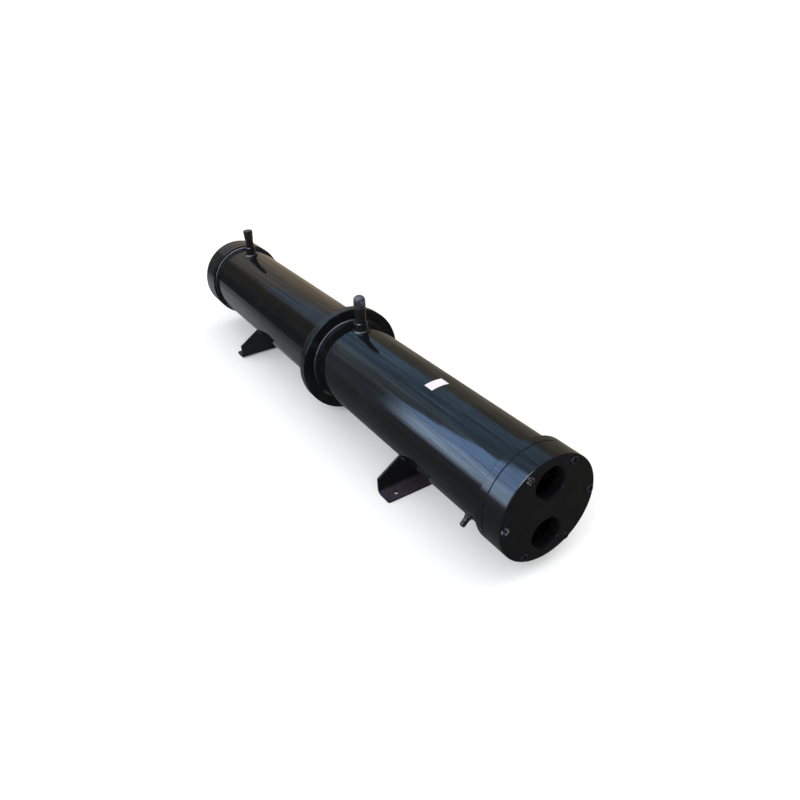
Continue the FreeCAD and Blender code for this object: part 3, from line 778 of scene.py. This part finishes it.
class Surroundings(Finish):
    """The world's shader, built with the same helpers as a finish."""

    def __init__(self):
        world = bpy.data.worlds.new("studio")
        bpy.context.scene.world = world
        world.use_nodes = True
        world.cycles.sampling_method = "NONE"
        self.tree = world.node_tree
        self.tree.nodes.clear()
        self.place = self.add("ShaderNodeTexCoord").outputs["Generated"]
        self.output = self.add("ShaderNodeOutputWorld")
        axes = self.axes(self.place)
        self.along = axes["X"]
        turn = self.math("ARCTAN2", axes["Y"], axes["Z"])
        self.angle = self.math("DEGREES", turn)

    def ramp(self, value, low, high, stops):
        """A colour, or a level, by a value between two limits."""
        ramp = self.add("ShaderNodeValToRGB")
        self.feed(ramp.inputs["Fac"], self.math("DIVIDE", self.math("SUBTRACT", value, low), high - low))
        bands = ramp.color_ramp
        bands.interpolation = "EASE"
        while len(bands.elements) < len(stops):
            bands.elements.new(0.5)
        for element, (place, colour) in zip(bands.elements, stops):
            element.position = (place - low) / (high - low)
            element.color = (*colour, 1.0) if isinstance(colour, tuple) else (colour, colour, colour, 1.0)
        return ramp.outputs["Color"]

    def round_vessel(self, stops):
        return self.ramp(self.angle, -180, 180, stops)

    def both(self, first, *others):
        """The product of several shares."""
        for other in others:
            first = self.math("MULTIPLY", first, other)
        return first

    def windows(self):
        """The share of window in a direction."""
        slant = self.math("ABSOLUTE", self.along)
        drop = self.math("MULTIPLY", self.math("SUBTRACT", slant, LINTEL_TURN), -LINTEL_DROP)
        lintel = self.math("MINIMUM", self.math("ADD", drop, LINTEL_AT_TURN), LINTEL_HIGHEST)
        waver = self.math("SUBTRACT", self.noise(LINTEL_WAVER_SIZE, 2.0, 0.6), 0.5)
        lintel = self.math("ADD", lintel, self.math("MULTIPLY", waver, LINTEL_WAVER))
        above_lintel = self.math("SUBTRACT", self.angle, lintel)
        sill = (WINDOW_SILL - WINDOW_SILL_SOFTNESS, WINDOW_SILL + WINDOW_SILL_SOFTNESS)
        return self.both(
            self.between(self.angle, *sill),
            self.between(above_lintel, -LINTEL_SOFTNESS, LINTEL_SOFTNESS, 1.0, 0.0),
            self.ramp(self.along, -1, 1, WINDOW_ROW),
        )

    def sky_wedge(self):
        """The share of the blue wedge in a direction."""
        beyond = self.math("SUBTRACT", self.math("MULTIPLY", self.along, -1.0), SKY_WEDGE_FROM)
        beyond = self.math("MAXIMUM", beyond, 0.0)
        drop = self.math("MULTIPLY", self.math("MULTIPLY", beyond, beyond), SKY_WEDGE_CLOSING)
        top = self.math("SUBTRACT", SKY_WEDGE_HIGH, drop)
        above_top = self.math("SUBTRACT", self.angle, top)
        low = (SKY_WEDGE_LOW - SKY_WEDGE_SOFTNESS, SKY_WEDGE_LOW + SKY_WEDGE_SOFTNESS)
        return self.both(
            self.between(self.angle, *low),
            self.between(above_top, -SKY_WEDGE_SOFTNESS, SKY_WEDGE_SOFTNESS, 1.0, 0.0),
        )

    def tube_light(self):
        off_centre = self.math("ABSOLUTE", self.math("SUBTRACT", self.angle, TUBE_LIGHT_ANGLE))
        return self.both(
            self.between(off_centre, TUBE_LIGHT_HALF_WIDTH / 2, TUBE_LIGHT_HALF_WIDTH * 2, 1.0, 0.0),
            self.ramp(self.along, -1, 1, TUBE_LIGHT_ROW),
        )

    def ground_lift(self, towards_end):
        """How bright the ground is beyond the plain end, and 1 above the ground."""
        (near, dull), (far, bright) = GROUND_NEAR, GROUND_FAR
        lift = self.between(towards_end, near, far, dull - 1, bright - 1)
        on_ground = self.between(self.angle, GROUND_TO, GROUND_FROM, 1.0, 0.0)
        return self.math("ADD", self.math("MULTIPLY", on_ground, lift), 1.0)

    def lamp(self):
        towards = self.add("ShaderNodeVectorMath", operation="DOT_PRODUCT")
        self.feed(towards.inputs[0], self.place)
        towards.inputs[1].default_value = LAMP_DIRECTION.normalized()
        outside = cos(radians(LAMP_RADIUS + LAMP_SOFTNESS))
        return self.between(towards.outputs["Value"], outside, cos(radians(LAMP_RADIUS)))

    def streaks(self, width, low, high):
        """Noise that runs along the vessel in narrow streaks."""
        streak_place = self.add("ShaderNodeCombineXYZ")
        self.feed(streak_place.inputs["X"], self.math("DIVIDE", self.along, STREAK_RUN))
        self.feed(streak_place.inputs["Y"], self.math("DIVIDE", self.angle, width))
        texture = self.add("ShaderNodeTexNoise")
        self.feed(texture.inputs["Vector"], streak_place.outputs[0])
        texture.inputs["Scale"].default_value = 1.0
        texture.inputs["Detail"].default_value = 2.0
        return self.between(texture.outputs["Fac"], 0.30, 0.70, low, high)

    def scaled(self, colour, share):
        node = self.add("ShaderNodeVectorMath", operation="SCALE")
        self.feed(node.inputs[0], colour)
        self.feed(node.inputs["Scale"], share)
        return node.outputs[0]

    def background(self, colour, strength=1.0):
        node = self.add("ShaderNodeBackground")
        self.feed(node.inputs["Color"], colour)
        node.inputs["Strength"].default_value = strength
        return node.outputs[0]


def light_the_world():
    """Even soft light on everything, and a hall with windows for the gloss to mirror."""
    world = Surroundings()
    side = world.mix(world.tube_light(), world.round_vessel(SIDE_SURROUNDINGS), TUBE_LIGHT_TONE)
    end = world.mix(world.sky_wedge(), world.round_vessel(END_SURROUNDINGS), SKY_WEDGE)
    towards_end = world.math("MULTIPLY", world.along, -1.0)
    end = world.scaled(end, world.ground_lift(towards_end))
    hall = world.mix(world.between(towards_end, END_VIEW_FROM, END_VIEW_TO), side, end)
    shade = world.between(world.along, AWAY_SHADE_FROM, AWAY_SHADE_TO, 1.0, AWAY_SHADE)
    hall = world.scaled(hall, shade)
    hall = world.mix(world.windows(), hall, world.round_vessel(WINDOW_PANES))
    hall = world.scaled(hall, world.both(
        world.streaks(WIDE_STREAK, *WIDE_STREAK_RANGE), world.streaks(NARROW_STREAK, *NARROW_STREAK_RANGE)
    ))
    mirrored = world.background(world.mix(world.lamp(), hall, LAMP_TONE))
    soft = world.background((1.0, 1.0, 1.0, 1.0), AMBIENT_STRENGTH)
    chosen = world.add("ShaderNodeMixShader")
    world.feed(chosen.inputs[0], world.add("ShaderNodeLightPath").outputs["Is Glossy Ray"])
    world.feed(chosen.inputs[1], soft)
    world.feed(chosen.inputs[2], mirrored)
    world.feed(world.output.inputs["Surface"], chosen.outputs[0])


def soft_light(name, light):
    """A large rectangular lamp that faces the vessel. The gloss doesn't mirror it."""
    lamp = bpy.data.lights.new(name, "AREA")
    lamp.shape = "RECTANGLE"
    lamp.size, lamp.size_y = light.size
    lamp.energy = light.power
    lamp.color = light.colour
    stand = bpy.data.objects.new(name, lamp)
    bpy.context.scene.collection.objects.link(stand)
    stand.location = light.place
    stand.rotation_euler = (LIGHTS_FACE - stand.location).to_track_quat("-Z", "Y").to_euler()
    stand.visible_glossy = False


def lay_floor():
    """A plain pale floor just under the feet. The gloss mirrors the surroundings instead of it."""
    mesh = bpy.data.meshes.new("floor")
    form = bmesh.new()
    bmesh.ops.create_grid(form, x_segments=1, y_segments=1, size=FLOOR_HALF_SIZE)
    form.to_mesh(mesh)
    form.free()
    floor = bpy.data.objects.new("floor", mesh)
    bpy.context.scene.collection.objects.link(floor)
    floor.location.z = -FLOOR_GAP
    finish = Finish("pale_floor")
    mottle = finish.noise(FLOOR_MOTTLE_SIZE, 3.0, 0.5)
    tone = finish.mix(mottle, (FLOOR_TONE,) * 3, (FLOOR_MOTTLE_TONE,) * 3)
    mesh.materials.append(finish.done(tone, FLOOR_ROUGHNESS))
    floor.visible_glossy = False


def place_camera():
    yaw, pitch, roll = (radians(angle) for angle in (CAMERA_YAW, CAMERA_PITCH, CAMERA_ROLL))
    gaze = Vector((-cos(pitch) * cos(yaw), cos(pitch) * sin(yaw), -sin(pitch)))
    level = gaze.cross(UP).normalized()
    upright = level.cross(gaze)
    right = level * cos(roll) + upright * sin(roll)
    top = upright * cos(roll) - level * sin(roll)
    lens = bpy.data.cameras.new("camera")
    lens.lens = CAMERA_LENS
    lens.sensor_width = CAMERA_SENSOR
    lens.clip_end = CAMERA_SEES_TO
    camera = bpy.data.objects.new("camera", lens)
    bpy.context.scene.collection.objects.link(camera)
    turned = Matrix((right, top, -gaze)).transposed().to_4x4()
    camera.matrix_world = Matrix.Translation(ON_AXIS + CAMERA_FROM_AXIS) @ turned
    bpy.context.scene.camera = camera


finish_cad_nodes()
made_pieces()
lay_floor()
light_the_world()
soft_light("key", KEY_LIGHT)
soft_light("fill", FILL_LIGHT)
place_camera()
bpy.context.scene.view_settings.view_transform = "Standard"
